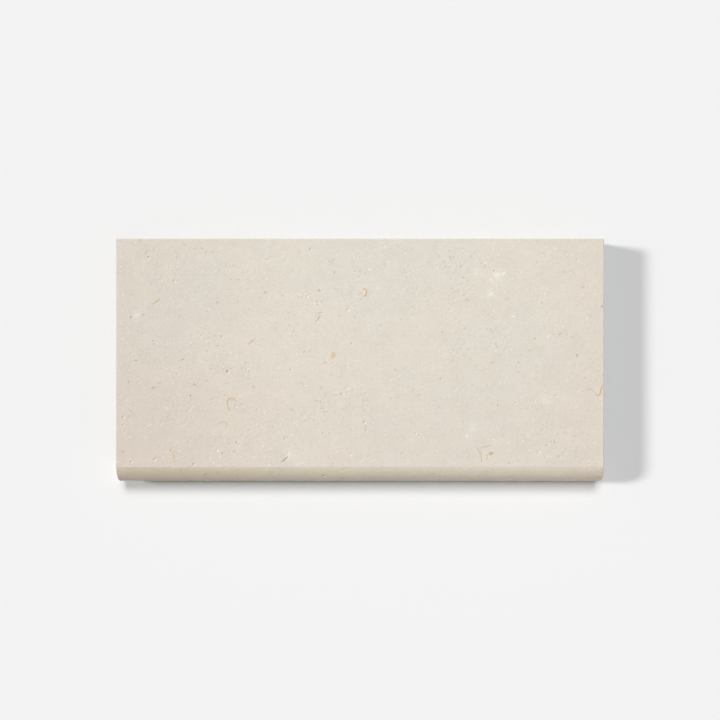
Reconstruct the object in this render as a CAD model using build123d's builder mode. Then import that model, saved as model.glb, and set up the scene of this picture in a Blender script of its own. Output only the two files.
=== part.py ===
"""Limestone pool coping: one sawn slab whose long front edge is ground to a bullnose.

Frame: X runs along the pool's edge, -Y points over the water, +Z is up.
The origin is the middle of the bed face, the underside that lies in mortar.
"""

import os

from build123d import *

# Driving dimensions, in millimetres
coping_length = 609.6
coping_depth = 304.8
coping_thickness = 50.8
# How far the ground nose stands out past the flat top
nose_reach = 20.0
# Rounding of the arrises that the saw leaves, as rubbed off by hand
arris_ease = 1.2

# Places across the slab, worked out from those
back = coping_depth / 2
nose_front = -coping_depth / 2
crease = nose_front + nose_reach
mid_thickness = coping_thickness / 2

with BuildPart() as coping:
    # The section that the bullnose wheel leaves, seen from the right-hand end
    with BuildSketch(Plane.YZ):
        with BuildLine():
            flats = Polyline((crease, 0), (back, 0), (back, coping_thickness), (crease, coping_thickness))
            # One arc struck through both creases and the furthest point at mid-thickness.
            # It meets the flats at a slight angle, so a crease shows along the top.
            ThreePointArc(flats @ 1, (nose_front, mid_thickness), flats @ 0)
        make_face()
    extrude(amount=coping_length / 2, both=True)

    # Every edge of the two sawn ends, round the nose too, and the two long back edges
    end_edges = coping.edges().group_by(Axis.X)[0] + coping.edges().group_by(Axis.X)[-1]
    back_edges = coping.edges().filter_by(Axis.X).group_by(Axis.Y)[-1]
    fillet(end_edges + back_edges, radius=arris_ease)

coping.part.label = "coping"

os.makedirs("parts", exist_ok=True)
export_step(coping.part, "parts/coping.step")
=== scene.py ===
"""Limestone pool coping: the finished stone, and the studio floor that it lies on.

The slab is rebuilt from the frame's own corners, then pitted, chipped and inlaid by one
Geometry Nodes tree. Marks that stand out on the real slab are listed one by one; the small
ones are scattered with a fixed seed. Metres, X along the pool's edge, -Y over the water.
"""

import math

import bmesh
import bpy
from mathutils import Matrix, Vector


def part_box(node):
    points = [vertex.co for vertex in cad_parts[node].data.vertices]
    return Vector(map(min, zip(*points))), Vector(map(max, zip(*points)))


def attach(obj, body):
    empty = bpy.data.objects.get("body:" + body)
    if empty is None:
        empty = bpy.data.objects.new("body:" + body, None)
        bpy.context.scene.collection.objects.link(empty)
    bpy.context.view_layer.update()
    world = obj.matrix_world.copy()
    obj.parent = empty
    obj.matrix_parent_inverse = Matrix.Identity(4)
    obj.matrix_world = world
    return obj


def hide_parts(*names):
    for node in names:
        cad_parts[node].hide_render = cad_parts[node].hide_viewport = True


bl_info = {
    "name": "Limestone Pool Coping",
    "version": (1, 0, 0),
    "blender": (4, 5, 0),
    "location": "View3D > Sidebar > Coping",
    "description": "Makes a bullnosed limestone coping with its pits and shell flecks, and its studio",
    "category": "Object",
}

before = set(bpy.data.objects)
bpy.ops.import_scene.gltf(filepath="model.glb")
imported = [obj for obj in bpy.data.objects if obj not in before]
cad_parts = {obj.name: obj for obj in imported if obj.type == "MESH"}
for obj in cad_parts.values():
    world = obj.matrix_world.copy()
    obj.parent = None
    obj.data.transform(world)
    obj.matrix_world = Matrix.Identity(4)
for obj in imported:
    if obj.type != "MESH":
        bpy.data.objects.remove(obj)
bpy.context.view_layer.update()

NODE = "coping"
BODY = "root"

MM = 0.001
LOW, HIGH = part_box(NODE)
HALF_LENGTH = HIGH.x
BACK = HIGH.y
NOSE_FRONT = LOW.y
BED = LOW.z
TOP = HIGH.z
HALF_THICKNESS = (TOP - BED) / 2
MIDDLE = (TOP + BED) / 2
# The line along the top where the flat ends and the nose begins
ON_TOP = [v.co.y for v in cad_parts[NODE].data.vertices if v.co.z > TOP - 0.01 * MM]
CREASE = min(ON_TOP)

# What each face of the stone is, kept on the mesh as "surface"
FLAT, ROUNDED, BROKEN = 0, 1, 2

# Marks that stand out on the slab, in millimetres and degrees: x and y from
# the slab's middle, length, width, and turn from +X seen from above. A sixth number says
# which of its kind's cutters a mark takes, where that isn't left to its place in the list.
PITS = (
    (-264.0, 129.4, 2.6, 2.2, 60), (-232.6, 99.8, 3.2, 2.0, 60), (-285.4, 54.2, 3.6, 2.8, 20),
    (-256.7, 21.0, 3.6, 1.4, 45), (-173.0, 30.2, 2.8, 1.7, 80), (-177.0, 18.4, 3.6, 1.8, 60),
    (-137.6, 64.8, 3.0, 1.7, 30), (-279.0, -0.1, 2.6, 2.0, 0), (-220.8, 1.4, 4.0, 1.7, 30),
    (-225.5, 0.0, 1.8, 1.3, 10), (-228.0, -16.1, 3.6, 1.4, 10), (-190.0, 12.3, 3.0, 1.4, 20),
    (-211.2, -43.7, 3.0, 2.0, 30), (-289.0, -27.1, 4.6, 1.5, 80), (-185.7, -10.6, 2.8, 2.0, 70),
    (-165.6, -13.5, 4.6, 3.0, 50), (-161.0, -9.8, 1.8, 1.4, 0), (-146.9, -9.9, 4.4, 1.7, 60),
    (-138.3, -13.5, 2.8, 2.2, 70), (-142.0, -11.0, 1.9, 1.5, 30), (-154.0, -101.6, 4.4, 2.0, 35),
    (-187.5, -106.3, 2.2, 1.6, 0), (-183.0, -106.8, 2.6, 1.8, 40), (-236.0, -111.9, 3.0, 2.0, 45),
    (-208.0, -129.1, 3.6, 2.0, 60), (-256.7, -122.9, 3.4, 2.2, 20), (-285.3, -126.1, 3.8, 2.0, 150),
    (-295.4, -114.0, 2.6, 2.4, 0), (-93.3, -123.4, 10.5, 2.8, 43), (-91.5, -95.8, 9.0, 1.3, 30),
    (-46.0, -91.0, 3.8, 2.4, 60), (-57.2, -74.5, 3.0, 1.5, 150), (-23.4, -41.5, 4.4, 1.5, 45),
    (-17.7, -34.4, 4.4, 1.6, 60), (-15.6, -39.4, 2.8, 1.4, 45), (-25.6, -37.6, 1.8, 1.3, 0),
    (-42.8, -2.7, 4.8, 1.4, 80), (-69.3, 10.9, 3.0, 2.0, 60), (-60.7, 11.7, 2.4, 1.7, 20),
    (-54.3, 74.0, 3.0, 1.7, 60), (-52.8, 69.8, 2.4, 1.8, 0), (-47.8, 72.2, 2.6, 1.7, 120),
    (-16.1, 64.0, 4.6, 1.6, 42), (-62.0, 139.4, 4.8, 1.8, 52), (5.1, -76.6, 3.6, 2.0, 35),
    (7.3, -87.1, 3.2, 2.0, 60), (-11.7, -115.7, 3.0, 2.0, 120), (51.1, -116.6, 2.8, 1.5, 140),
    (54.2, -114.0, 1.8, 1.2, 0), (36.8, 88.4, 4.0, 1.3, 85), (28.9, 143.6, 2.8, 1.6, 60),
    (100.7, -22.9, 3.2, 1.7, 50), (133.6, 75.9, 2.6, 1.7, 120), (136.8, 75.0, 2.0, 1.5, 30),
    (167.3, 111.6, 3.0, 2.4, 20), (172.1, -56.0, 3.0, 2.0, 70), (198.4, -2.6, 3.2, 1.5, 10),
    (131.0, -97.2, 1.8, 1.4, 0), (137.3, -98.5, 1.8, 1.3, 20), (233.1, -105.1, 3.6, 1.9, 35),
    (242.8, -101.6, 2.6, 1.6, 50), (222.6, -113.0, 3.0, 1.8, 60), (271.0, 126.6, 2.6, 1.8, 60),
    (277.8, 19.5, 2.2, 1.5, 40), (-45.4, -144.6, 6.0, 3.2, 20), (238.3, -142.1, 3.0, 2.0, 60),
    (-171.1, -115.9, 2.8, 2.2, 70), (-116.3, -65.4, 2.4, 1.5, 90), (-193.4, -143.6, 4.2, 3.0, 30),
    (-44.9, -59.8, 2.2, 1.6, 60), (-59.4, 76.6, 2.6, 1.8, 50), (-269.6, 57.4, 2.2, 1.6, 30),
    (-258.2, 24.6, 2.4, 1.5, 60), (-169.4, -10.2, 2.2, 1.5, 20), (-133.0, -8.4, 2.4, 1.6, 60),
)
SHELL_PATCHES = (
    (171.3, 107.6, 9.2, 4.8, 18), (162.9, 101.4, 3.6, 2.8, 40), (179.3, 109.0, 5.4, 3.4, 55),
    (156.6, 122.2, 5.0, 2.6, 20), (143.6, 108.0, 5.0, 2.4, 20), (163.3, 83.5, 6.4, 4.0, 50),
    (191.2, 55.2, 4.2, 2.4, 0), (167.3, 62.8, 3.4, 2.0, 80), (201.6, 110.7, 3.2, 2.6, 0),
    (273.4, 124.6, 3.0, 2.4, 0), (243.8, 140.2, 3.0, 2.6, 0), (235.1, 30.9, 4.2, 3.4, 70),
    (31.0, 142.6, 3.4, 2.8, 40), (34.6, 123.4, 3.8, 2.8, 60), (12.2, 113.9, 4.4, 3.0, 10),
    (-263.4, 127.4, 3.8, 2.4, 70), (-41.8, -54.5, 3.8, 2.2, 60), (-42.1, -60.9, 3.6, 2.2, 0),
    (133.8, -93.6, 4.0, 3.2, 60), (283.0, 53.3, 3.2, 2.4, 80), (221.0, 62.6, 2.4, 2.2, 0),
    (287.0, 93.4, 3.8, 2.2, 80), (77.8, 65.8, 4.4, 1.2, 85), (70.1, 65.8, 4.4, 1.2, 95),
    (5.4, 84.6, 4.2, 2.8, 80), (-90.6, -121.8, 6.4, 1.6, 43), (-142.0, -17.0, 3.0, 2.0, 60),
    (-230.6, 98.6, 2.8, 1.8, 60), (-281.4, 55.4, 2.8, 2.0, 40), (-275.8, 57.8, 3.0, 1.8, 30),
    (-253.2, 21.6, 2.8, 1.8, 60), (-60.2, 137.8, 3.6, 1.4, 52), (-139.8, -10.4, 3.2, 2.0, 60),
    (-152.2, -100.2, 4.4, 1.6, 35), (-177.3, -112.7, 3.2, 2.4, 30), (-205.8, -128.6, 2.8, 2.0, 60),
    (-296.0, -113.8, 2.2, 1.9, 0), (-284.2, -126.6, 3.6, 2.8, 60), (-255.2, -124.2, 3.2, 2.0, 40),
    (-118.6, -64.9, 3.6, 3.0, 0), (-13.4, -34.6, 3.6, 1.6, 50), (-19.8, -40.6, 3.2, 1.4, 50),
    (6.6, -77.4, 3.6, 2.4, 50), (8.8, -88.4, 3.0, 2.2, 60), (-85.6, -93.4, 6.4, 1.6, 35),
    (-88.4, -116.2, 6.0, 2.6, 50), (-10.8, -118.4, 2.8, 1.8, 0), (102.2, -22.8, 2.8, 2.0, 0),
    (236.2, -103.6, 4.4, 2.0, 35), (225.4, -114.2, 3.2, 2.2, 60), (185.3, -102.5, 3.6, 2.6, 20),
    (-50.2, 71.6, 3.4, 2.0, 40), (-56.8, 72.4, 3.4, 1.8, 60), (-44.4, 73.4, 2.6, 1.6, 0),
    (-163.2, -15.2, 2.6, 1.8, 40), (-171.0, 28.6, 2.8, 1.8, 80), (-14.2, 62.6, 3.4, 1.6, 42),
)
DEEP_FLECKS = (
    (-33.2, 6.3, 9.0, 5.8, 68, 4), (278.2, 91.5, 4.6, 3.2, 20, 4), (247.6, -119.0, 4.8, 2.8, 30, 4),
    (-266.4, 136.0, 6.4, 2.4, 66, 4), (-50.8, 87.5, 4.2, 2.8, 170), (-177.7, 72.6, 3.6, 3.2, 90),
    (-152.2, 101.1, 3.4, 3.0, 0), (-133.1, -32.6, 3.8, 3.2, 80, 4), (-258.2, -34.1, 4.4, 2.8, 10),
    (250.2, 33.4, 5.0, 2.8, 50, 4), (44.1, -11.4, 4.8, 2.6, 0), (186.4, -127.7, 3.4, 2.4, 0),
    (302.0, 67.6, 3.0, 2.4, 60), (-192.1, 135.4, 3.0, 2.6, 90), (-288.6, -69.1, 3.8, 2.6, 80),
    (-84.8, -61.6, 4.2, 2.8, 10), (-206.4, -30.0, 3.6, 3.0, 0), (92.4, -141.6, 7.4, 2.0, 170, 4),
    (190.9, -146.6, 7.0, 3.0, 5, 4), (-223.7, -137.4, 3.4, 2.8, 0), (271.1, 6.3, 5.4, 2.2, 100),
    (164.8, -2.6, 6.4, 1.8, 18), (-142.7, -2.6, 3.6, 2.6, 30), (-117.9, 85.1, 4.0, 2.8, 0),
    (163.8, -116.0, 5.6, 4.0, 20, 0), (148.2, -143.8, 2.8, 2.2, 0, 1), (-257.2, 138.2, 2.6, 1.4, 110, 0),
)
PALE_FLECKS = (
    (-25.2, 55.6, 3.6, 3.2, 0), (-125.2, 78.8, 4.4, 3.2, 0), (-97.2, 81.1, 6.4, 1.8, 25),
    (-139.4, -86.6, 3.2, 3.0, 0), (73.6, -42.4, 6.2, 2.2, 0), (37.7, -47.2, 4.0, 2.0, 20),
    (43.2, -46.4, 2.2, 1.4, 0), (48.6, -46.2, 2.2, 1.4, 0), (129.2, 6.3, 3.4, 2.2, 0),
    (20.9, 19.8, 2.8, 3.2, 90), (257.3, 136.1, 3.4, 2.2, 0),
    (222.3, 80.4, 3.2, 2.4, 90), (153.8, 62.0, 3.2, 2.2, 0), (-38.1, 123.4, 3.2, 3.0, 0),
    (-32.4, 109.9, 4.4, 2.8, 70), (-33.6, 102.6, 3.2, 2.6, 0), (-184.1, 136.1, 3.0, 2.6, 90),
    (-156.2, 144.9, 3.6, 3.0, 0), (221.6, 147.3, 4.4, 2.2, 100), (108.4, 108.1, 3.4, 2.4, 0),
    (142.2, 93.8, 4.4, 2.2, 0), (183.1, 76.3, 8.4, 2.0, 0), (255.6, 110.6, 5.4, 2.2, 0),
    (142.8, 30.3, 3.2, 2.2, 0), (137.2, 2.8, 2.8, 2.2, 60),
    (-97.3, -137.4, 3.2, 2.8, 0), (-29.8, -43.2, 2.6, 2.0, 0), (-21.9, -60.9, 3.4, 3.0, 0),
    (-36.3, -18.2, 4.4, 3.2, 20), (55.6, -68.1, 4.6, 1.8, 0), (0.9, -41.5, 3.4, 2.2, 0),
    (112.2, 9.9, 4.6, 1.8, 0), (-184.9, -48.0, 3.6, 2.4, 0), (-235.9, -67.7, 4.8, 1.8, 0),
    (-156.3, -20.0, 2.8, 2.2, 0), (-147.7, -54.0, 3.6, 2.8, 0), (-126.1, -125.5, 4.2, 3.2, 0),
    (-77.9, 129.6, 3.2, 2.4, 80), (-77.2, 79.5, 3.4, 3.0, 90), (64.2, 138.6, 2.6, 2.4, 0),
    (30.4, 120.0, 4.4, 2.2, 80), (94.9, 148.3, 3.2, 2.2, 0), (102.9, 36.0, 3.4, 3.2, 0),
    (229.7, 86.3, 3.2, 2.2, 80), (213.2, 13.0, 4.4, 2.0, 30), (228.3, 15.9, 3.2, 2.2, 90),
    (302.4, 82.6, 3.4, 1.8, 90), (-212.0, 85.0, 3.0, 2.0, 90), (5.3, -142.7, 6.0, 1.8, 35),
    (-251.0, -33.0, 5.4, 1.6, 8), (-283.0, -66.4, 2.8, 2.0, 40), (-241.0, 4.4, 6.0, 3.0, 20),
    (241.6, 32.8, 4.4, 2.4, 0), (255.8, 37.6, 3.6, 1.6, 50), (270.2, -77.5, 2.4, 2.0, 0),
    (295.2, -146.4, 11.0, 4.2, 4), (-160.0, -48.8, 4.0, 3.0, 20),
)
# Cut edges of thin shells: a stain from 0 to 1, a width, then the points they run through
SHELL_LINES = (
    (1.0, 2.0, ((-258.9, 69.7), (-255.0, 73.0), (-251.2, 75.2), (-249.9, 78.8))),
    (0.9, 1.6, ((-53.6, 58.8), (-50.0, 59.8), (-46.8, 60.4))),
    (1.0, 2.2, ((-48.8, 57.6), (-51.2, 53.0), (-54.3, 49.3))),
    (1.0, 2.1, ((3.4, 88.6), (6.7, 89.4), (8.6, 85.5), (7.2, 81.3), (3.2, 79.8))),
    (1.0, 1.9, ((-154.1, -50.9), (-157.4, -47.6), (-162.0, -47.4), (-164.9, -51.6), (-165.0, -57.4))),
    (1.0, 2.6, ((-165.0, -57.4), (-163.4, -60.6), (-161.7, -63.7))),
    (0.6, 2.0, ((-177.1, -78.9), (-170.6, -77.2), (-166.3, -77.6), (-166.6, -83.1))),
    (0.7, 1.4, ((-78.0, -29.7), (-75.1, -27.9), (-71.5, -28.9), (-70.1, -31.5))),
    (0.8, 1.9, ((-57.2, -50.4), (-54.6, -49.4), (-52.1, -49.9))),
    (0.7, 1.2, ((-49.2, -54.5), (-48.0, -56.6), (-46.3, -58.0))),
    (0.7, 2.2, ((-234.6, -113.6), (-232.4, -117.4), (-231.2, -121.9), (-231.0, -127.6))),
    (0.7, 1.7, ((283.1, -37.6), (286.8, -36.0), (290.1, -36.8), (293.6, -41.1))),
    (1.0, 2.3, ((293.6, -41.1), (297.2, -43.6), (300.4, -40.6), (301.4, -35.0), (303.0, -29.7))),
    (0.7, 2.4, ((145.4, -109.0), (149.4, -113.0), (151.9, -120.0), (152.4, -128.0))),
    (0.7, 2.0, ((150.0, -109.6), (154.0, -107.4), (159.4, -107.7), (163.8, -105.1))),
    (0.5, 1.8, ((161.2, -113.9), (159.6, -119.0), (157.7, -124.5))),
    (0.8, 1.0, ((55.5, 75.0), (58.4, 75.7), (60.3, 74.0))),
    (0.8, 1.0, ((56.9, 72.2), (59.4, 71.2))),
    (0.8, 1.9, ((-139.8, 19.5), (-135.5, 23.2), (-131.2, 26.8))),
    (0.5, 1.2, ((210.3, 11.5), (212.0, 13.4), (214.8, 13.8))),
)
# Soft pale clouds under the surface: x, y, and the radius at which they fade out
PALE_CLOUDS = (
    (170.0, 106.0, 18.0), (162.0, 84.0, 9.0), (141.5, -84.0, 12.0), (134.8, -95.0, 8.0),
    (232.0, -49.0, 11.0), (-279.0, 56.0, 10.0), (-87.0, -118.0, 13.0), (147.0, 110.0, 12.0),
)


def as_light(red, green, blue):
    """A colour given from 0 to 255, as the linear value that shaders take."""
    return tuple(
        c / 255 / 12.92 if c <= 10 else ((c / 255 + 0.055) / 1.055) ** 2.4 for c in (red, green, blue)
    )


def a_length(name, description, default):
    """A length that the panel shows in the scene's unit."""
    return bpy.props.FloatProperty(
        name=name, description=description, default=default, min=0.0, unit="LENGTH")


def an_angle(name, description, default):
    """An angle that the panel shows in degrees."""
    return bpy.props.FloatProperty(
        name=name, description=description, default=math.radians(default), subtype="ANGLE")


def an_amount(name, description, default):
    """A plain number for the panel, never below nought."""
    return bpy.props.FloatProperty(name=name, description=description, default=default, min=0.0)


def a_colour(name, description, *picked):
    """A colour for the panel, given from 0 to 255."""
    return bpy.props.FloatVectorProperty(
        name=name, description=description, default=as_light(*picked),
        size=3, min=0.0, max=1.0, subtype="COLOR")


def a_tint(name, description, *default):
    """What the panel lets a colour be multiplied by, channel by channel."""
    return bpy.props.FloatVectorProperty(
        name=name, description=description, default=default,
        size=3, min=0.0, max=2.0, subtype="COLOR")


class StoneShape(bpy.types.PropertyGroup):
    """Sizes of the slab that the frame doesn't give, and of what breaks its surface."""

    arris_ease: a_length("Arris ease", "Radius rubbed on the sawn arrises", 1.2 * MM)
    pit_density: an_amount("Pit density", "Most scattered pits in each square metre", 2000.0)
    pinhole_density: an_amount("Pinhole density", "Most pinholes in each square metre", 5200.0)
    smallest_pit: a_length(
        "Smallest pit", "Half the length of the smallest pit, and of the largest pinhole", 0.75 * MM)
    largest_pit: a_length("Largest pit", "Half the length of the largest scattered pit", 2.0 * MM)
    chips: bpy.props.IntProperty(
        name="Chips", description="Small chips along the arrises", default=150, min=0)
    chip_size: a_length("Chip size", "Half the length of the largest chip", 1.6 * MM)
    grain_turn: an_angle("Grain turn", "The way that most slivers lie, turned from +X", 42)
    seed: bpy.props.IntProperty(
        name="Seed", description="Another value scatters the small marks anew", default=11)


class StoneColours(bpy.types.PropertyGroup):
    """Colours of the stone as they show in plain light, and tints that paint shade and light on it."""

    cream: a_colour("Cream", "The warm part of the ground colour", 224, 216.3, 203.2)
    ash: a_colour("Ash", "The cooler, greyer part of the ground colour", 222, 215.3, 203.2)
    rust: a_colour("Rust", "Iron-stained shell flecks", 207, 175, 129)
    shell: a_colour("Shell", "Clean white shell and calcite", 242, 238, 229)
    # Painted shade: the next colour is the grey that darkens the largest pits where shade falls in them
    painted_pit_shade: a_colour("Hollow", "The dust that dulls the largest pits", 197, 189, 175)
    umber: a_colour("Umber", "The darkest iron stain", 154, 133, 106)
    pore: a_colour("Pore", "Soft grey dots where the grain is open", 193, 185, 172)
    blush: a_tint("Blush", "What the pinker parts are multiplied by", 1.02, 0.985, 0.98)
    moss: a_tint("Moss", "What the greener parts are multiplied by", 0.98, 1.003, 0.985)
    # Painted shade: the left-end and front tints darken the stone where the light falls off towards the
    # left end and the nose; the right-end tint darkens that end a little
    left_end_painted_shade: a_tint("Left end", "What the left end is multiplied by", 0.945, 0.928, 0.925)
    right_end: a_tint("Right end", "What the right end is multiplied by", 1.0, 0.98, 0.975)
    nose_ward_painted_shade: a_tint("Front", "What the stone near the nose is multiplied by", 0.975, 0.945, 0.935)
    # Painted light: the nose tints paint shade and warm bounce light on the nose, darker at the left and
    # lighter at the right, and light thrown up from the floor along its foremost line
    nose_painted_light_left: a_tint(
        "Nose, left", "What the finer ground nose is multiplied by at the left", 0.96, 0.925, 0.855)
    nose_painted_light_right: a_tint(
        "Nose, right", "What the finer ground nose is multiplied by at the right", 1.10, 1.065, 1.01)
    nose_tip_painted_bounce: a_tint(
        "Nose tip", "What its foremost line is multiplied by as well, at the right", 1.25, 1.22, 1.20)


class Studio(bpy.types.PropertyGroup):
    """The camera, the lamps and the floor."""

    eye_height: a_length("Eye height", "From the walking face up to the camera", 1.42)
    view_width: a_length("View width", "What the picture takes in across the walking face", 0.8985)
    key_strength: an_amount("Key", "Strength of the small lamp low at the left", 1.94)
    key_width: an_angle("Key width", "How wide the key looks from the coping", 9)
    soft_strength: an_amount("Soft light", "Strength of the wide lamp above the back edge", 1.76)
    soft_width: an_angle("Soft light width", "How wide the soft light looks from the coping", 20)
    room_strength: an_amount("Room", "Strength of the even light from all round", 0.125)
    floor_tone: a_colour("Floor", "Colour of the floor and of what lies behind it", 243, 243, 243)
    side_colour: a_tint(
        "Side colour", "Colour of the light that the sides throw on the floor", 1.04, 1.0, 0.9)
    # Painted shade: the shade colour and the right and front strengths darken and cool the floor in the
    # coping's shadow beside the right end and the nose
    painted_shade_tint: a_tint("Shade colour", "The same, beside the sides that lie in shade", 1.33, 1.0, 0.72)
    left_glow: an_amount("Left glow", "Strength of the left end's light on the floor", 0.54)
    back_glow: an_amount("Back glow", "Strength of the back edge's light on the floor", 0.45)
    right_painted_shade: an_amount("Right glow", "Strength of the right end's light on the floor", 0.21)
    nose_floor_painted_shade: an_amount("Front glow", "Strength of the nose's light on the floor", 0.03)


def give(tree, socket, value):
    """Link an input to an output, or set it to a value."""
    if isinstance(value, bpy.types.NodeSocket):
        tree.links.new(value, socket)
    else:
        socket.default_value = value


def add_node(tree, kind, inputs=None, **settings):
    """Add a node, set its options, then fill or link its inputs, which are named or numbered."""
    made = tree.nodes.new(kind)
    for name, value in settings.items():
        setattr(made, name, value)
    for key, value in (inputs or {}).items():
        give(tree, made.inputs[key], value)
    return made


def work_out(tree, a, b, operation):
    """One step of arithmetic on two numbers."""
    return add_node(tree, "ShaderNodeMath", {0: a, 1: b}, operation=operation).outputs[0]


def plus(tree, a, b):
    """One number and another."""
    return work_out(tree, a, b, "ADD")


def times(tree, a, b):
    """One number times another."""
    return work_out(tree, a, b, "MULTIPLY")


def vector(tree, operation, a, b):
    """One step of arithmetic on two vectors, or on a vector and the number that scales it."""
    second = "Scale" if operation == "SCALE" else 1
    made = add_node(tree, "ShaderNodeVectorMath", {0: a, second: b}, operation=operation)
    return made.outputs["Value" if operation == "DISTANCE" else "Vector"]


def ranged(tree, value, low, high, to_low=0.0, to_high=1.0, smooth=False):
    """Stretch a number from one span to another, held within its ends."""
    return add_node(tree, "ShaderNodeMapRange",
                    {"Value": value, "From Min": low, "From Max": high,
                     "To Min": to_low, "To Max": to_high},
                    interpolation_type="SMOOTHSTEP" if smooth else "LINEAR").outputs[0]


def noise_of(tree, coords, size, detail=3.0, roughness=0.55, output=0):
    """Noise with lumps about as wide as the size given, in metres. Output 1 is its colour."""
    return add_node(tree, "ShaderNodeTexNoise",
                    {"Vector": coords, "Scale": 1 / size, "Detail": detail,
                     "Roughness": roughness}).outputs[output]


def new_object(name, data):
    """An object in the scene for a mesh, curve, lamp or camera."""
    made = bpy.data.objects.new(name, data)
    bpy.context.scene.collection.objects.link(made)
    return made


def mesh_from(made, name):
    """Close a mesh being edited, and keep it under a name."""
    mesh = bpy.data.meshes.new(name)
    made.to_mesh(mesh)
    made.free()
    return mesh


def section_outline(inset, ease):
    """Points (y, z) round the slab's section, all moved inwards by one distance."""
    reach = CREASE - NOSE_FRONT
    nose_radius = (reach**2 + HALF_THICKNESS**2) / (2 * reach)
    nose_centre = NOSE_FRONT + nose_radius
    radius = nose_radius - inset
    swing = math.asin((HALF_THICKNESS - inset) / radius)
    nose_steps = 36
    corner_steps = 4
    points = []
    for corner_z, start in ((BED + ease, -math.pi / 2), (TOP - ease, 0.0)):
        for step in range(corner_steps + 1):
            angle = start + math.pi / 2 * step / corner_steps
            out = ease - inset
            points.append((BACK - ease + out * math.cos(angle), corner_z + out * math.sin(angle)))
    for step in range(nose_steps + 1):
        angle = swing * (1 - 2 * step / nose_steps)
        points.append((nose_centre - radius * math.cos(angle), MIDDLE + radius * math.sin(angle)))
    return points


def sawn_slab(ease):
    """The whole slab before it is marked, with each face's kind kept as "surface"."""
    ease_steps = 5
    rings = []
    for side in (-1, 1):
        for step in range(ease_steps + 1):
            angle = math.pi / 2 * (1 - step / ease_steps)
            if side > 0:
                angle = math.pi / 2 - angle
            x = side * (HALF_LENGTH - ease + ease * math.sin(angle))
            rings.append((x, section_outline(ease * (1 - math.cos(angle)), ease)))
    made = bmesh.new()
    kind = made.faces.layers.int.new("surface")
    loops = [[made.verts.new((x, y, z)) for y, z in outline] for x, outline in rings]
    made.faces.new(loops[0])
    made.faces.new(loops[-1])
    for near, far in zip(loops, loops[1:]):
        for i in range(len(near)):
            j = (i + 1) % len(near)
            made.faces.new((near[i], near[j], far[j], far[i]))
    bmesh.ops.remove_doubles(made, verts=made.verts, dist=0.001 * MM)
    bmesh.ops.recalc_face_normals(made, faces=made.faces)
    eased_area = ease * ease * 100
    for face in made.faces:
        face.normal_update()
        flat = max(abs(c) for c in face.normal) > 0.99999 and face.calc_area() > eased_area
        face[kind] = FLAT if flat else ROUNDED
    return mesh_from(made, "sawn_slab")


def marks_mesh(name, marks):
    """One vertex for each mark, with its half sizes and its turn kept as attributes."""
    depth_share = 0.42
    taken_in_turn = 4
    mesh = bpy.data.meshes.new(name)
    mesh.from_pydata([(x * MM, y * MM, TOP) for x, y, *rest in marks], [], [])
    half_sizes = mesh.attributes.new("half_size", "FLOAT_VECTOR", "POINT").name
    turns = mesh.attributes.new("turn", "FLOAT", "POINT").name
    kinds = mesh.attributes.new("variant", "INT", "POINT").name
    for i, (x, y, length, width, turn, *variant) in enumerate(marks):
        half = (length / 2 * MM, width / 2 * MM, width * depth_share * MM)
        mesh.attributes[half_sizes].data[i].vector = half
        mesh.attributes[turns].data[i].value = math.radians(turn)
        mesh.attributes[kinds].data[i].value = variant[0] if variant else i % taken_in_turn
    return mesh


def lines_curve(name, lines):
    """The shell lines as smooth curves just above the top, each as thick as its line is wide."""
    skim = 0.88
    end_share = 0.6
    curve = bpy.data.curves.new(name, "CURVE")
    curve.dimensions = "3D"
    for _, width, points in lines:
        radius = width / 2 * MM / math.sqrt(1 - skim**2)
        spline = curve.splines.new("POLY")
        spline.points.add(len(points) - 1)
        for i, (x, y) in enumerate(points):
            at_end = i in (0, len(points) - 1)
            size = radius * (end_share if at_end else 1.0)
            spline.points[i].co = (x * MM, y * MM, TOP + size * skim, 1)
            spline.points[i].radius = size
    return curve


def arris_mesh(ease):
    """Lines along every sawn arris, a little inside the corner, for chips to sit on."""
    made = bmesh.new()
    depth = ease * 0.25
    outline = section_outline(depth, ease)
    for side in (-1, 1):
        ring = [made.verts.new((side * (HALF_LENGTH - depth), y, z)) for y, z in outline]
        for i in range(len(ring)):
            made.edges.new((ring[i - 1], ring[i]))
    for z in (BED + depth, TOP - depth):
        ends = [made.verts.new((side * HALF_LENGTH, BACK - depth, z)) for side in (-1, 1)]
        made.edges.new(ends)
    return mesh_from(made, "arrises")


def on_plan(tree, coords):
    """How far along X and along Y a point lies."""
    place = add_node(tree, "ShaderNodeSeparateXYZ", {0: coords})
    return place.outputs["X"], place.outputs["Y"]


def position(tree):
    """Where each point lies."""
    return add_node(tree, "GeometryNodeInputPosition").outputs["Position"]


def attribute(tree, name, kind):
    """What is kept on each point under a name."""
    return add_node(tree, "GeometryNodeInputNamedAttribute", {"Name": name},
                    data_type=kind).outputs["Attribute"]


def stored(tree, geometry, name, value, kind, domain="FACE"):
    """Keep a value under a name on every face of a cutter, whose cut then has it, or on points."""
    return add_node(tree, "GeometryNodeStoreNamedAttribute",
                    {"Geometry": geometry, "Name": name, "Value": value},
                    data_type=kind, domain=domain).outputs["Geometry"]


def cutter(tree, shape, stain):
    """Mark a cutter's faces as broken stone with a stain: white -1, rust 1, umber 2, and grey 3, which
    is painted shade in the pits.
    """
    named = stored(tree, shape, "surface", BROKEN, "INT")
    return stored(tree, named, "stain", stain, "FLOAT")


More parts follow.
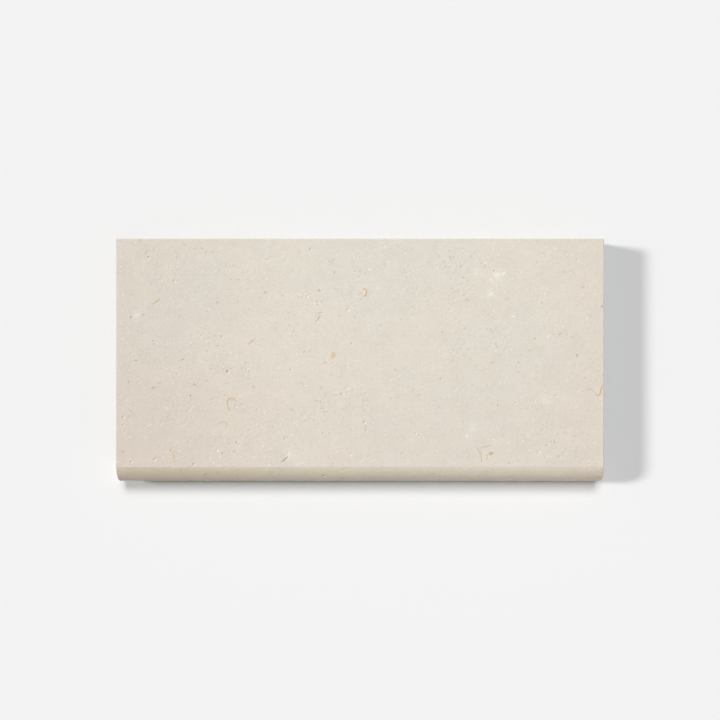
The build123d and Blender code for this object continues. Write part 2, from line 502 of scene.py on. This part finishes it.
def roughened(tree, solid, coords, shift, scale, push):
    """A solid pushed out of round by noise, as far each way as push says."""
    noise = add_node(tree, "ShaderNodeTexNoise",
                     {"Vector": vector(tree, "ADD", coords, shift), "Scale": scale, "Detail": 2.0})
    centred = vector(tree, "SUBTRACT", noise.outputs["Color"], (0.5, 0.5, 0.5))
    return add_node(tree, "GeometryNodeSetPosition",
                    {"Geometry": solid, "Offset": vector(tree, "MULTIPLY", centred, push)}).outputs[0]


def rough_lump(tree, number, roughness, fineness=2):
    """A ball of radius 1 pushed out of round, no two alike."""
    ball = add_node(tree, "GeometryNodeMeshIcoSphere", {"Radius": 1.0, "Subdivisions": fineness})
    shift = (number * 7.3, number * 3.1, 0.0)
    return roughened(tree, ball.outputs["Mesh"], position(tree), shift, 1.1, (roughness,) * 3)


def pinhole(tree, number, roughness):
    """A lump of few faces, for the smallest pits."""
    return rough_lump(tree, number, roughness, 1)


def rough_tablet(tree, number, roughness):
    """A flat disc of radius 1 with an uneven rim, for an inlay that lies flush."""
    disc = add_node(tree, "GeometryNodeMeshCylinder",
                    {"Vertices": 16, "Radius": 1.0, "Depth": 2.0}, fill_type="NGON")
    flat = vector(tree, "MULTIPLY", position(tree), (1.0, 1.0, 0.0))
    shift = (number * 5.7, number * 2.3, number * 1.9)
    return roughened(tree, disc.outputs["Mesh"], flat, shift, 1.3, (roughness, roughness, 0.0))


def variants(tree, make, stains, roughness, first):
    """Several cutters of one kind, one for each stain given, for points to pick from."""
    pool = add_node(tree, "GeometryNodeGeometryToInstance")
    for number, stain in enumerate(stains, first):
        tree.links.new(cutter(tree, make(tree, number, roughness), stain), pool.inputs[0])
    return pool.outputs[0]


def turned_to(tree, normal, turn):
    """A rotation that stands a cutter on its face and turns it about that face's normal."""
    spin = add_node(tree, "ShaderNodeCombineXYZ", {"Z": turn}).outputs["Vector"]
    flat = add_node(tree, "FunctionNodeEulerToRotation", {"Euler": spin}).outputs["Rotation"]
    return add_node(tree, "FunctionNodeAlignRotationToVector",
                    {"Rotation": flat, "Vector": normal}, axis="Z").outputs["Rotation"]


def set_out(tree, points, cutters, pick, rotation, size):
    """One cutter on each point, picked, turned and sized for it."""
    return add_node(tree, "GeometryNodeInstanceOnPoints",
                    {"Points": points, "Instance": cutters, "Pick Instance": True,
                     "Instance Index": pick, "Rotation": rotation, "Scale": size}).outputs["Instances"]


def placed_marks(tree, slab, points, cutters, depth=None):
    """Cutters on listed points, dropped straight down on to the slab."""
    hit = add_node(tree, "GeometryNodeRaycast",
                   {"Target Geometry": slab, "Ray Direction": (0.0, 0.0, -1.0), "Ray Length": 1.0,
                    "Source Position": vector(tree, "ADD", position(tree), (0.0, 0.0, 0.1))})
    facing = stored(tree, points, "facing", hit.outputs["Hit Normal"], "FLOAT_VECTOR", "POINT")
    set_down = add_node(tree, "GeometryNodeSetPosition",
                        {"Geometry": facing, "Position": hit.outputs["Hit Position"]})
    size = attribute(tree, "half_size", "FLOAT_VECTOR")
    if depth is not None:
        flat = vector(tree, "MULTIPLY", size, (1.0, 1.0, 0.0))
        size = vector(tree, "ADD", flat, (0.0, 0.0, depth))
    rotation = turned_to(tree, attribute(tree, "facing", "FLOAT_VECTOR"),
                         attribute(tree, "turn", "FLOAT"))
    return set_out(tree, set_down.outputs[0], cutters, attribute(tree, "variant", "INT"),
                   rotation, size)


def random_between(tree, low, high, seed, kind="FLOAT"):
    """A different number for each point, from the same seed every time."""
    made = add_node(tree, "FunctionNodeRandomValue", data_type=kind)
    least, most = [s for s in made.inputs if s.enabled][:2]
    give(tree, least, low)
    give(tree, most, high)
    give(tree, made.inputs["Seed"], seed)
    return next(s for s in made.outputs if s.enabled)


def any_of_them(tree, seed):
    """A whole number for picking among cutters, which is taken round to the first again."""
    return random_between(tree, 0, 63, seed, "INT")


def scattered(tree, slab, cutters, density, seed, sizes, shape, grain, spread, clustered):
    """Cutters scattered over every face, thicker in some clouds of the stone than in others."""
    slim, depth = shape
    fewest = 0.08
    mostly_small = 2.6
    here = position(tree)
    cloud = add_node(tree, "ShaderNodeTexNoise", {"Vector": here, "Scale": 26.0, "Detail": 2.0})
    # The slab is more open towards its left end
    x, _ = on_plan(tree, here)
    left = ranged(tree, x, -HALF_LENGTH, HALF_LENGTH, 0.14, -0.05)
    factor = ranged(tree, plus(tree, cloud.outputs[0], left), *clustered, fewest, 1.0)
    points = add_node(tree, "GeometryNodeDistributePointsOnFaces",
                      {"Mesh": slab, "Distance Min": 0.9 * MM, "Density Max": density,
                       "Density Factor": factor, "Seed": seed}, distribute_method="POISSON")
    turn = random_between(tree, plus(tree, grain, -spread), plus(tree, grain, spread), 21)
    luck = work_out(tree, random_between(tree, 0.0, 1.0, 22), mostly_small, "POWER")
    length = ranged(tree, luck, 0.0, 1.0, *sizes)
    width = times(tree, length, random_between(tree, *slim, 23))
    size = add_node(tree, "ShaderNodeCombineXYZ",
                    {"X": length, "Y": width, "Z": times(tree, width, depth)}).outputs[0]
    return set_out(tree, points.outputs["Points"], cutters, any_of_them(tree, 24),
                   turned_to(tree, points.outputs["Normal"], turn), size)


def chips(tree, arrises, cutters, count, size, seed):
    """Small chips at random places along the sawn arrises."""
    mostly_small = 4.0
    lines = add_node(tree, "GeometryNodeMeshToCurve", {"Mesh": arrises}).outputs[0]
    where = add_node(tree, "GeometryNodeSampleCurve",
                     {"Curves": lines, "Factor": random_between(tree, 0.0, 1.0, seed)},
                     use_all_curves=True, mode="FACTOR")
    points = add_node(tree, "GeometryNodePoints",
                      {"Count": count, "Position": where.outputs["Position"]}).outputs[0]
    luck = work_out(tree, random_between(tree, 0.35, 1.0, 32), mostly_small, "POWER")
    length = times(tree, luck, size)
    width = times(tree, length, random_between(tree, 0.3, 0.6, 33))
    along = add_node(tree, "FunctionNodeAxesToRotation",
                     {"Primary Axis": where.outputs["Tangent"], "Secondary Axis": (0.3, 0.4, 0.5)},
                     primary_axis="X", secondary_axis="Z").outputs[0]
    sizes = add_node(tree, "ShaderNodeCombineXYZ", {"X": length, "Y": width, "Z": width}).outputs[0]
    return set_out(tree, points, cutters, any_of_them(tree, 34), along, sizes)


def shell_grooves(tree, curves, stain):
    """Skims along the shell lines, as wide as each line's radius leaves them."""
    smooth = add_node(tree, "GeometryNodeCurveSplineType", {"Curve": curves},
                      spline_type="CATMULL_ROM").outputs[0]
    fine = add_node(tree, "GeometryNodeSetSplineResolution", {"Geometry": smooth, "Resolution": 5})
    ring = add_node(tree, "GeometryNodeCurvePrimitiveCircle", {"Resolution": 20, "Radius": 1.0})
    radius = add_node(tree, "GeometryNodeInputRadius").outputs[0]
    swept = add_node(tree, "GeometryNodeCurveToMesh",
                     {"Curve": fine.outputs[0], "Profile Curve": ring.outputs["Curve"],
                      "Scale": radius, "Fill Caps": True})
    return cutter(tree, swept.outputs["Mesh"], stain)


# What the tree is given, by kind. The floats and whole numbers are the shape's own values.
TREE_INPUTS = {
    "Geometry": ("Slab",),
    "Object": ("Pits", "Shell patches", "Deep flecks", "Pale flecks", "Dark lines", "Pale lines",
               "Arrises"),
    "Float": ("Pit density", "Pinhole density", "Smallest pit", "Largest pit", "Chip size",
              "Grain turn"),
    "Int": ("Chips", "Seed"),
    "Material": ("Finish",),
}


def marking_tree():
    """The tree that takes pits, flecks and chips out of a sawn slab."""
    tree = bpy.data.node_groups.new("mark_the_slab", "GeometryNodeTree")
    for kind, names in TREE_INPUTS.items():
        for name in names:
            tree.interface.new_socket(name, in_out="INPUT", socket_type="NodeSocket" + kind)
    tree.interface.new_socket("Stone", in_out="OUTPUT", socket_type="NodeSocketGeometry")
    given = add_node(tree, "NodeGroupInput").outputs
    slab = given["Slab"]

    def held(name):
        return add_node(tree, "GeometryNodeObjectInfo", {"Object": given[name]}).outputs["Geometry"]

    flush = 0.06 * MM
    pits = variants(tree, rough_lump, (0.0, -0.35, 0.12, -0.1, -0.55, 0.05, 0.0, -0.2), 0.95, 1)
    cuts = [
        # The placed pits' stains past two grey them with painted shade
        placed_marks(tree, slab, held("Pits"),
                     variants(tree, rough_lump, (2.4, 2.0, 0.2, 2.7), 0.95, 51)),
        placed_marks(tree, slab, held("Shell patches"),
                     variants(tree, rough_tablet, (-0.72, -0.84, -0.56, -0.66), 1.2, 11), flush),
        placed_marks(tree, slab, held("Deep flecks"),
                     variants(tree, rough_tablet, (0.62, 0.72, 0.52, 0.64, 1.06), 1.1, 21), flush),
        placed_marks(tree, slab, held("Pale flecks"),
                     variants(tree, rough_tablet, (0.34, 0.42, 0.26, 0.38), 1.2, 31), flush),
        shell_grooves(tree, held("Dark lines"), 0.88),
        shell_grooves(tree, held("Pale lines"), 0.5),
        scattered(tree, slab, pits, given["Pit density"], given["Seed"],
                  (given["Smallest pit"], given["Largest pit"]), ((0.35, 0.8), 0.55),
                  given["Grain turn"], 0.7, (0.42, 0.66)),
        scattered(tree, slab, variants(tree, pinhole, (0.0, -0.2, 0.1, 0.0), 0.8, 41),
                  given["Pinhole density"], plus(tree, given["Seed"], 100),
                  (0.35 * MM, given["Smallest pit"]), ((0.45, 0.9), 0.6),
                  given["Grain turn"], 1.5, (0.38, 0.62)),
        chips(tree, held("Arrises"), variants(tree, rough_lump, (0.0, 0.1, -0.1), 0.9, 61),
              given["Chips"], given["Chip size"], given["Seed"]),
    ]
    carved = add_node(tree, "GeometryNodeMeshBoolean", {"Mesh 1": slab},
                      operation="DIFFERENCE", solver="MANIFOLD")
    for cut in cuts:
        tree.links.new(cut, carved.inputs["Mesh 2"])
    whole = add_node(tree, "GeometryNodeRealizeInstances", {"Geometry": carved.outputs["Mesh"]})
    finished = add_node(tree, "GeometryNodeSetMaterial",
                        {"Geometry": whole.outputs[0], "Material": given["Finish"]})
    add_node(tree, "NodeGroupOutput", {"Stone": finished.outputs[0]})
    return tree


def set_input(modifier, name, value):
    """Set a tree's named input on its modifier, by the socket's identifier."""
    modifier[modifier.node_group.interface.items_tree[name].identifier] = value


def sharpen(mesh):
    """Smooth faces of one kind into each other, and keep every rim and crease crisp."""
    crease_angle = math.radians(35)
    made = bmesh.new()
    made.from_mesh(mesh)
    kind = made.faces.layers.int["surface"]
    for face in made.faces:
        face.smooth = True
    for edge in made.edges:
        if len(edge.link_faces) == 2:
            one, other = edge.link_faces
            edge.smooth = one[kind] == other[kind] and edge.calc_face_angle(math.pi) < crease_angle
    made.to_mesh(mesh)
    made.free()


def opaque(colour):
    """A colour with nothing seen through it."""
    return (*colour, 1.0)


def mixed(tree, factor, a, b, blend="MIX"):
    """One colour over another."""
    a, b = (c if isinstance(c, bpy.types.NodeSocket) else opaque(c) for c in (a, b))
    return add_node(tree, "ShaderNodeMix", {0: factor, 6: a, 7: b},
                    data_type="RGBA", blend_type=blend).outputs[2]


def tinted(tree, factor, colour, tint):
    """A colour multiplied by a tint, as far as the factor says."""
    return mixed(tree, factor, colour, tint, "MULTIPLY")


def material_tree(name):
    """A new material and its empty node tree."""
    material = bpy.data.materials.new(name)
    material.use_nodes = True
    material.node_tree.nodes.clear()
    return material, material.node_tree


def along_grain(tree, coords, turn, stretch):
    """Coordinates that draw a pattern out along the grain, on plan."""
    turned = add_node(tree, "ShaderNodeMapping", {"Vector": coords, "Rotation": (0.0, 0.0, -turn)})
    return add_node(tree, "ShaderNodeMapping",
                    {"Vector": turned.outputs[0], "Scale": (1 / stretch, 1.0, 1.0)}).outputs[0]


def specks(tree, coords, cell, share, radius):
    """A mask of soft-edged specks: one in some cells, of mixed sizes."""
    ragged = noise_of(tree, coords, cell * 0.18, 2.0, output=1)
    shift = vector(tree, "SUBTRACT", ragged, (0.5, 0.5, 0.5))
    warped = vector(tree, "ADD", coords, vector(tree, "SCALE", shift, cell * 0.22))
    cells = add_node(tree, "ShaderNodeTexVoronoi",
                     {"Vector": warped, "Scale": 1 / cell, "Randomness": 1.0})
    parts = add_node(tree, "ShaderNodeSeparateColor", {0: cells.outputs["Color"]})
    chosen = work_out(tree, parts.outputs[0], 1 - share, "GREATER_THAN")
    size = ranged(tree, parts.outputs[1], 0.0, 1.0, radius * 0.5, radius)
    near = work_out(tree, work_out(tree, cells.outputs["Distance"], size, "DIVIDE"), 1.0, "SUBTRACT")
    return times(tree, ranged(tree, near, 0.0, -0.5, smooth=True), chosen)


def ground_colour(tree, coords, x, y, colours):
    """The colour of the stone between its flecks."""
    # Broad clouds of two creams, then the mealy grain
    clouds = ranged(tree, noise_of(tree, coords, 0.12, 3.0), 0.38, 0.62, smooth=True)
    colour = mixed(tree, clouds, colours.cream, colours.ash)
    patches = ranged(tree, noise_of(tree, coords, 0.022, 4.0, 0.6), 0.3, 0.7, 0.972, 1.022)
    grain = ranged(tree, noise_of(tree, coords, 0.0019, 3.0, 0.7), 0.3, 0.7, 0.942, 1.058)
    colour = vector(tree, "SCALE", colour, times(tree, patches, grain))

    # Faint blushes of pink and of green, which drift apart from the clouds
    for size, low, high, tint in ((0.007, 0.50, 0.66, colours.blush), (0.005, 0.50, 0.34, colours.moss)):
        noise = noise_of(tree, coords, size, 4.0, 0.75)
        colour = tinted(tree, ranged(tree, noise, low, high), colour, tint)

    # Painted shade: the stone darkens towards its left end and, pinker, towards the nose, where the
    # light falls off; it also darkens a little towards its right end
    painted_shade_leftward = ranged(tree, x, -60 * MM, -300 * MM, smooth=True)
    colour = tinted(tree, painted_shade_leftward, colour, colours.left_end_painted_shade)
    rightward = ranged(tree, x, 190 * MM, 305 * MM, smooth=True)
    colour = tinted(tree, rightward, colour, colours.right_end)
    painted_shade_forward = times(tree, ranged(tree, y, 60 * MM, -120 * MM, smooth=True),
                    ranged(tree, x, -40 * MM, -280 * MM, 0.43, 1.0))
    return tinted(tree, painted_shade_forward, colour, colours.nose_ward_painted_shade)


def with_specks(tree, coords, colour, colours, turn, opened):
    """Fine specks and slivers too small to cut, some of them crowded where the grain is open."""
    slivers = along_grain(tree, coords, turn, 3.2)
    short = along_grain(tree, coords, turn, 1.6)
    crowd = ranged(tree, opened, 0.0, 1.0, 0.22, 1.0)
    # Cell in metres, share of cells with a speck, its radius in cells, colour and strength
    for pattern, cell, share, radius, tint, strength, crowded in (
        (short, 0.0044, 0.60, 0.36, colours.pore, 0.52, True),
        (short, 0.0078, 0.46, 0.27, colours.pore, 0.52, True),
        (coords, 0.0054, 0.40, 0.24, colours.rust, 0.30, False),
        (coords, 0.0105, 0.26, 0.16, colours.rust, 0.46, False),
        (coords, 0.0048, 0.60, 0.32, colours.shell, 0.42, True),
        (coords, 0.0070, 0.40, 0.24, colours.shell, 0.44, False),
        (slivers, 0.0040, 0.35, 0.26, colours.rust, 0.24, False),
        (slivers, 0.0043, 0.32, 0.26, colours.shell, 0.42, False),
    ):
        mask = times(tree, specks(tree, pattern, cell, share, radius), strength)
        if crowded:
            mask = times(tree, mask, crowd)
        colour = mixed(tree, mask, colour, tint)
    return colour


def with_clouds(tree, coords, colour, colours):
    """Pale clouds round the largest shell patches."""
    uneven = ranged(tree, noise_of(tree, coords, 0.007, 3.0), 0.3, 0.7, 0.05, 0.48)
    for x, y, radius in PALE_CLOUDS:
        away = vector(tree, "DISTANCE", coords, (x * MM, y * MM, TOP))
        glow = times(tree, ranged(tree, away, radius * MM, 0.0, smooth=True), uneven)
        colour = mixed(tree, glow, colour, colours.shell)
    return colour


def with_inlays(tree, coords, colour, colours):
    """The stains kept on cut faces: white below nought, then rust, umber past one, and past two a grey
    that is painted shade in the pits.
    """
    stain = add_node(tree, "ShaderNodeAttribute", attribute_type="GEOMETRY",
                     attribute_name="stain").outputs["Fac"]
    mottle = ranged(tree, noise_of(tree, coords, 0.0014, 2.0), 0.3, 0.7, 0.55, 1.0)
    brown = work_out(tree, stain, 2.0, "LESS_THAN")
    rusty = times(tree, times(tree, ranged(tree, stain, 0.0, 1.0), mottle), brown)
    colour = mixed(tree, rusty, colour, colours.rust)
    deeper = times(tree, ranged(tree, stain, 1.0, 2.0), brown)
    colour = mixed(tree, deeper, colour, colours.umber)
    # Painted shade: stains past two grey the pits
    colour = mixed(tree, ranged(tree, stain, 2.0, 3.0), colour, colours.painted_pit_shade)
    white = times(tree, work_out(tree, times(tree, stain, -1.0), 0.0, "MAXIMUM"), mottle)
    return mixed(tree, white, colour, colours.shell)


def with_painted_nose_light(tree, x, y, colour, colours):
    """Painted light on the nose: shade and warm bounce light that darken and warm it at the left and
    lighten it at the right, and light thrown up from the floor, painted palest along its foremost line
    towards the right.
    """
    from_middle = work_out(tree, x, 0.0, "ABSOLUTE")
    short_of_end = ranged(tree, from_middle, HALF_LENGTH - 0.1 * MM, HALF_LENGTH - 0.9 * MM)
    on_nose = ranged(tree, y, CREASE + 0.3 * MM, CREASE - 1.2 * MM, smooth=True)
    along = ranged(tree, x, -0.95 * HALF_LENGTH, 0.9 * HALF_LENGTH)
    ground = mixed(tree, along, colours.nose_painted_light_left, colours.nose_painted_light_right)
    colour = tinted(tree, times(tree, on_nose, short_of_end), colour, ground)
    foremost = times(tree, ranged(tree, y, NOSE_FRONT + 6 * MM, NOSE_FRONT + 1 * MM), along)
    return tinted(tree, times(tree, foremost, short_of_end), colour, colours.nose_tip_painted_bounce)


def fine_relief(tree, coords, turn, opened):
    """Relief too fine to cut: pores, grain, and a scratchy roughness where the grain is open."""
    short = along_grain(tree, coords, turn, 1.6)
    pores = specks(tree, coords, 0.0021, 0.5, 0.34)
    fine = noise_of(tree, coords, 0.0007, 3.0, 0.65)
    relief = work_out(tree, times(tree, fine, 0.35), pores, "SUBTRACT")
    scratchy = times(tree, noise_of(tree, short, 0.0024, 2.0, 0.6), opened)
    relief = plus(tree, relief, times(tree, scratchy, 3.0))
    return add_node(tree, "ShaderNodeBump",
                    {"Height": relief, "Strength": 0.55, "Distance": 0.16 * MM}).outputs[0]


def limestone(shape, colours):
    """Cream shelly limestone, honed on top, with shade and warm bounce light painted on its nose."""
    material, tree = material_tree("shelly_limestone")
    coords = add_node(tree, "ShaderNodeTexCoord").outputs["Object"]
    x, y = on_plan(tree, coords)
    turn = shape.grain_turn
    opened = ranged(tree, noise_of(tree, coords, 0.034, 4.0, 0.62), 0.49, 0.62, smooth=True)
    colour = ground_colour(tree, coords, x, y, colours)
    colour = with_specks(tree, coords, colour, colours, turn, opened)
    colour = with_clouds(tree, coords, colour, colours)
    colour = with_inlays(tree, coords, colour, colours)
    colour = with_painted_nose_light(tree, x, y, colour, colours)
    gloss = ranged(tree, noise_of(tree, coords, 0.004, 3.0), 0.3, 0.7, 0.62, 0.78)
    surface = add_node(tree, "ShaderNodeBsdfPrincipled",
                       {"Base Color": colour, "Roughness": gloss,
                        "Normal": fine_relief(tree, coords, turn, opened)})
    add_node(tree, "ShaderNodeOutputMaterial", {"Surface": surface.outputs[0]})
    return material


class COPING_OT_make_stone(bpy.types.Operator):
    """Make the slab, pit, inlay and chip it, and give it its finish"""

    bl_idname = "coping.make_stone"
    bl_label = "Make the Stone"

    def execute(self, context):
        shape = context.scene.coping_shape
        colours = context.scene.coping_colours
        placed = {"Pits": PITS, "Shell patches": SHELL_PATCHES,
                  "Deep flecks": DEEP_FLECKS, "Pale flecks": PALE_FLECKS}
        guides = {name: new_object(name, marks_mesh(name, marks)) for name, marks in placed.items()}
        dark_from = 0.75
        lines = {"Dark lines": [line for line in SHELL_LINES if line[0] > dark_from],
                 "Pale lines": [line for line in SHELL_LINES if line[0] <= dark_from]}
        for name, group in lines.items():
            guides[name] = new_object(name, lines_curve(name, group))
        guides["Arrises"] = new_object("arrises", arris_mesh(shape.arris_ease))
        settings = {name: getattr(shape, name.lower().replace(" ", "_"))
                    for name in TREE_INPUTS["Float"] + TREE_INPUTS["Int"]}
        stone = new_object("limestone_coping", sawn_slab(shape.arris_ease))
        marking = stone.modifiers.new("marking", "NODES")
        marking.node_group = marking_tree()
        for name, value in {**guides, **settings, "Finish": limestone(shape, colours)}.items():
            set_input(marking, name, value)

        evaluated = stone.evaluated_get(context.evaluated_depsgraph_get())
        carved = bpy.data.meshes.new_from_object(evaluated)
        stone.modifiers.remove(marking)
        stone.data = carved
        carved.name = "limestone_coping"
        for guide in guides.values():
            bpy.data.objects.remove(guide)
        if "stain" not in carved.attributes:
            raise RuntimeError("the slab came out of its marking uncut")
        sharpen(carved)

        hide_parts(NODE)
        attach(stone, BODY)
        return {"FINISHED"}


def side_glow(tree, away, along, start, end):
    """How much of the sky over a floor point one standing side of the coping fills."""
    height = TOP - BED
    far = work_out(tree, away, 0.1 * MM, "MAXIMUM")
    slant = work_out(tree, plus(tree, times(tree, far, far), height**2), 0.5, "POWER")
    total = None
    for edge, sign in ((end, 1.0), (start, -1.0)):
        reach = work_out(tree, edge, along, "SUBTRACT")
        near_turn = work_out(tree, work_out(tree, reach, far, "DIVIDE"), 0.0, "ARCTANGENT")
        slant_turn = work_out(tree, work_out(tree, reach, slant, "DIVIDE"), 0.0, "ARCTANGENT")
        less = times(tree, work_out(tree, far, slant, "DIVIDE"), slant_turn)
        part = times(tree, work_out(tree, near_turn, less, "SUBTRACT"), sign / (2 * math.pi))
        total = part if total is None else plus(tree, total, part)
    return times(tree, total, work_out(tree, away, 0.0, "GREATER_THAN"))


def floor_finish(studio):
    """A pale floor that looks even beside the coping.

    The coping's lit sides throw light on it, so it is toned down there by as much. Beside the right end
    and the nose it is toned down and cooled as painted shade, which deepens the coping's shadow.
    """
    material, tree = material_tree("pale_floor")
    x, y = on_plan(tree, add_node(tree, "ShaderNodeTexCoord").outputs["Object"])
    # How far a floor point lies beyond each side, the side's ends, its strength and its colour
    sides = (
        (work_out(tree, -HALF_LENGTH, x, "SUBTRACT"), y, CREASE, BACK,
         studio.left_glow, studio.side_colour),
        (plus(tree, y, -BACK), x, -HALF_LENGTH, HALF_LENGTH, studio.back_glow, studio.side_colour),
        # Beside the right end and the nose the toning is painted shade, cooled by the shade colour
        (plus(tree, x, -HALF_LENGTH), y, CREASE, BACK, studio.right_painted_shade, studio.painted_shade_tint),
        (work_out(tree, NOSE_FRONT, y, "SUBTRACT"), x, -HALF_LENGTH, HALF_LENGTH,
         studio.nose_floor_painted_shade, studio.painted_shade_tint),
    )
    more = (1.0, 1.0, 1.0)
    for away, along, start, end, strength, colour in sides:
        lit = times(tree, side_glow(tree, away, along, start, end), strength)
        more = vector(tree, "ADD", vector(tree, "SCALE", colour, lit), more)
    tone = vector(tree, "DIVIDE", studio.floor_tone, more)
    matt = add_node(tree, "ShaderNodeBsdfDiffuse", {"Color": tone})
    add_node(tree, "ShaderNodeOutputMaterial", {"Surface": matt.outputs[0]})
    return material


def studio_floor(studio):
    """A wide pale floor that keeps the coping's shadow."""
    made = bmesh.new()
    bmesh.ops.create_circle(made, cap_ends=True, segments=64, radius=9.0)
    floor = new_object("studio_floor", mesh_from(made, "studio_floor"))
    floor.data.materials.append(floor_finish(studio))


def far_lamp(name, strength, width, place):
    """A lamp so far off that it lights everything evenly, from the side where it is put."""
    data = bpy.data.lights.new(name, "SUN")
    data.energy = strength
    data.angle = width
    made = new_object(name, data)
    made.visible_camera = False
    made.location = place
    made.rotation_mode = "QUATERNION"
    made.rotation_quaternion = (-Vector(place)).to_track_quat("-Z", "Y")


def studio_room(studio):
    """Even light from all round, which looks pale to the camera and in whatever shines."""
    world = bpy.data.worlds.new("studio_room")
    world.use_nodes = True
    tree = world.node_tree
    tree.nodes.clear()
    seen = add_node(tree, "ShaderNodeBackground", {"Color": opaque(studio.floor_tone)})
    room = add_node(tree, "ShaderNodeBackground",
                    {"Color": (1.0, 1.0, 1.0, 1.0), "Strength": studio.room_strength})
    path = add_node(tree, "ShaderNodeLightPath").outputs
    mirrored = plus(tree, path["Is Glossy Ray"], path["Is Transmission Ray"])
    shown = plus(tree, path["Is Camera Ray"], mirrored)
    both = add_node(tree, "ShaderNodeMixShader", {0: shown, 1: room.outputs[0], 2: seen.outputs[0]})
    add_node(tree, "ShaderNodeOutputWorld", {"Surface": both.outputs[0]})
    return world


class COPING_OT_make_stage(bpy.types.Operator):
    """Lay the floor, hang the lamps and set up the camera above the coping"""

    bl_idname = "coping.make_stage"
    bl_label = "Make the Studio"

    def execute(self, context):
        scene = context.scene
        studio = scene.coping_studio
        studio_floor(studio)
        # The key stands at the left and a little behind, about 37 degrees up
        far_lamp("key", studio.key_strength, studio.key_width, (-2.64, 0.40, 2.0))
        # The soft light hangs above the back edge, so that the nose falls into shade
        far_lamp("soft_light", studio.soft_strength, studio.soft_width, (-0.06, 1.0, 2.0))
        scene.world = studio_room(studio)

        data = bpy.data.cameras.new("eye")
        data.sensor_width = 36.0
        data.lens = data.sensor_width * studio.eye_height / studio.view_width
        eye = new_object("eye", data)
        eye_x, eye_y = 0.05 * MM, 0.83 * MM
        eye.location = (eye_x, eye_y, TOP + studio.eye_height)
        scene.camera = eye
        scene.view_settings.view_transform = "Standard"
        return {"FINISHED"}


class COPING_PT_panel(bpy.types.Panel):
    """Everything that makes the coping, in the order it is made"""

    bl_idname = "COPING_PT_panel"
    bl_label = "Limestone Pool Coping"
    bl_space_type = "VIEW_3D"
    bl_region_type = "UI"
    bl_category = "Coping"

    def draw(self, context):
        for group in GROUPS:
            box = self.layout.box()
            values = getattr(context.scene, group)
            for name in values.__annotations__:
                box.prop(values, name)
        self.layout.operator(COPING_OT_make_stone.bl_idname)
        self.layout.operator(COPING_OT_make_stage.bl_idname)


GROUPS = {"coping_shape": StoneShape, "coping_colours": StoneColours, "coping_studio": Studio}
CLASSES = (*GROUPS.values(), COPING_OT_make_stone, COPING_OT_make_stage, COPING_PT_panel)


def register():
    for each in CLASSES:
        bpy.utils.register_class(each)
    for name, group in GROUPS.items():
        setattr(bpy.types.Scene, name, bpy.props.PointerProperty(type=group))


def unregister():
    for name in GROUPS:
        delattr(bpy.types.Scene, name)
    for each in reversed(CLASSES):
        bpy.utils.unregister_class(each)


def main():
    register()
    bpy.ops.coping.make_stone()
    bpy.ops.coping.make_stage()


if __name__ == "__main__":
    main()
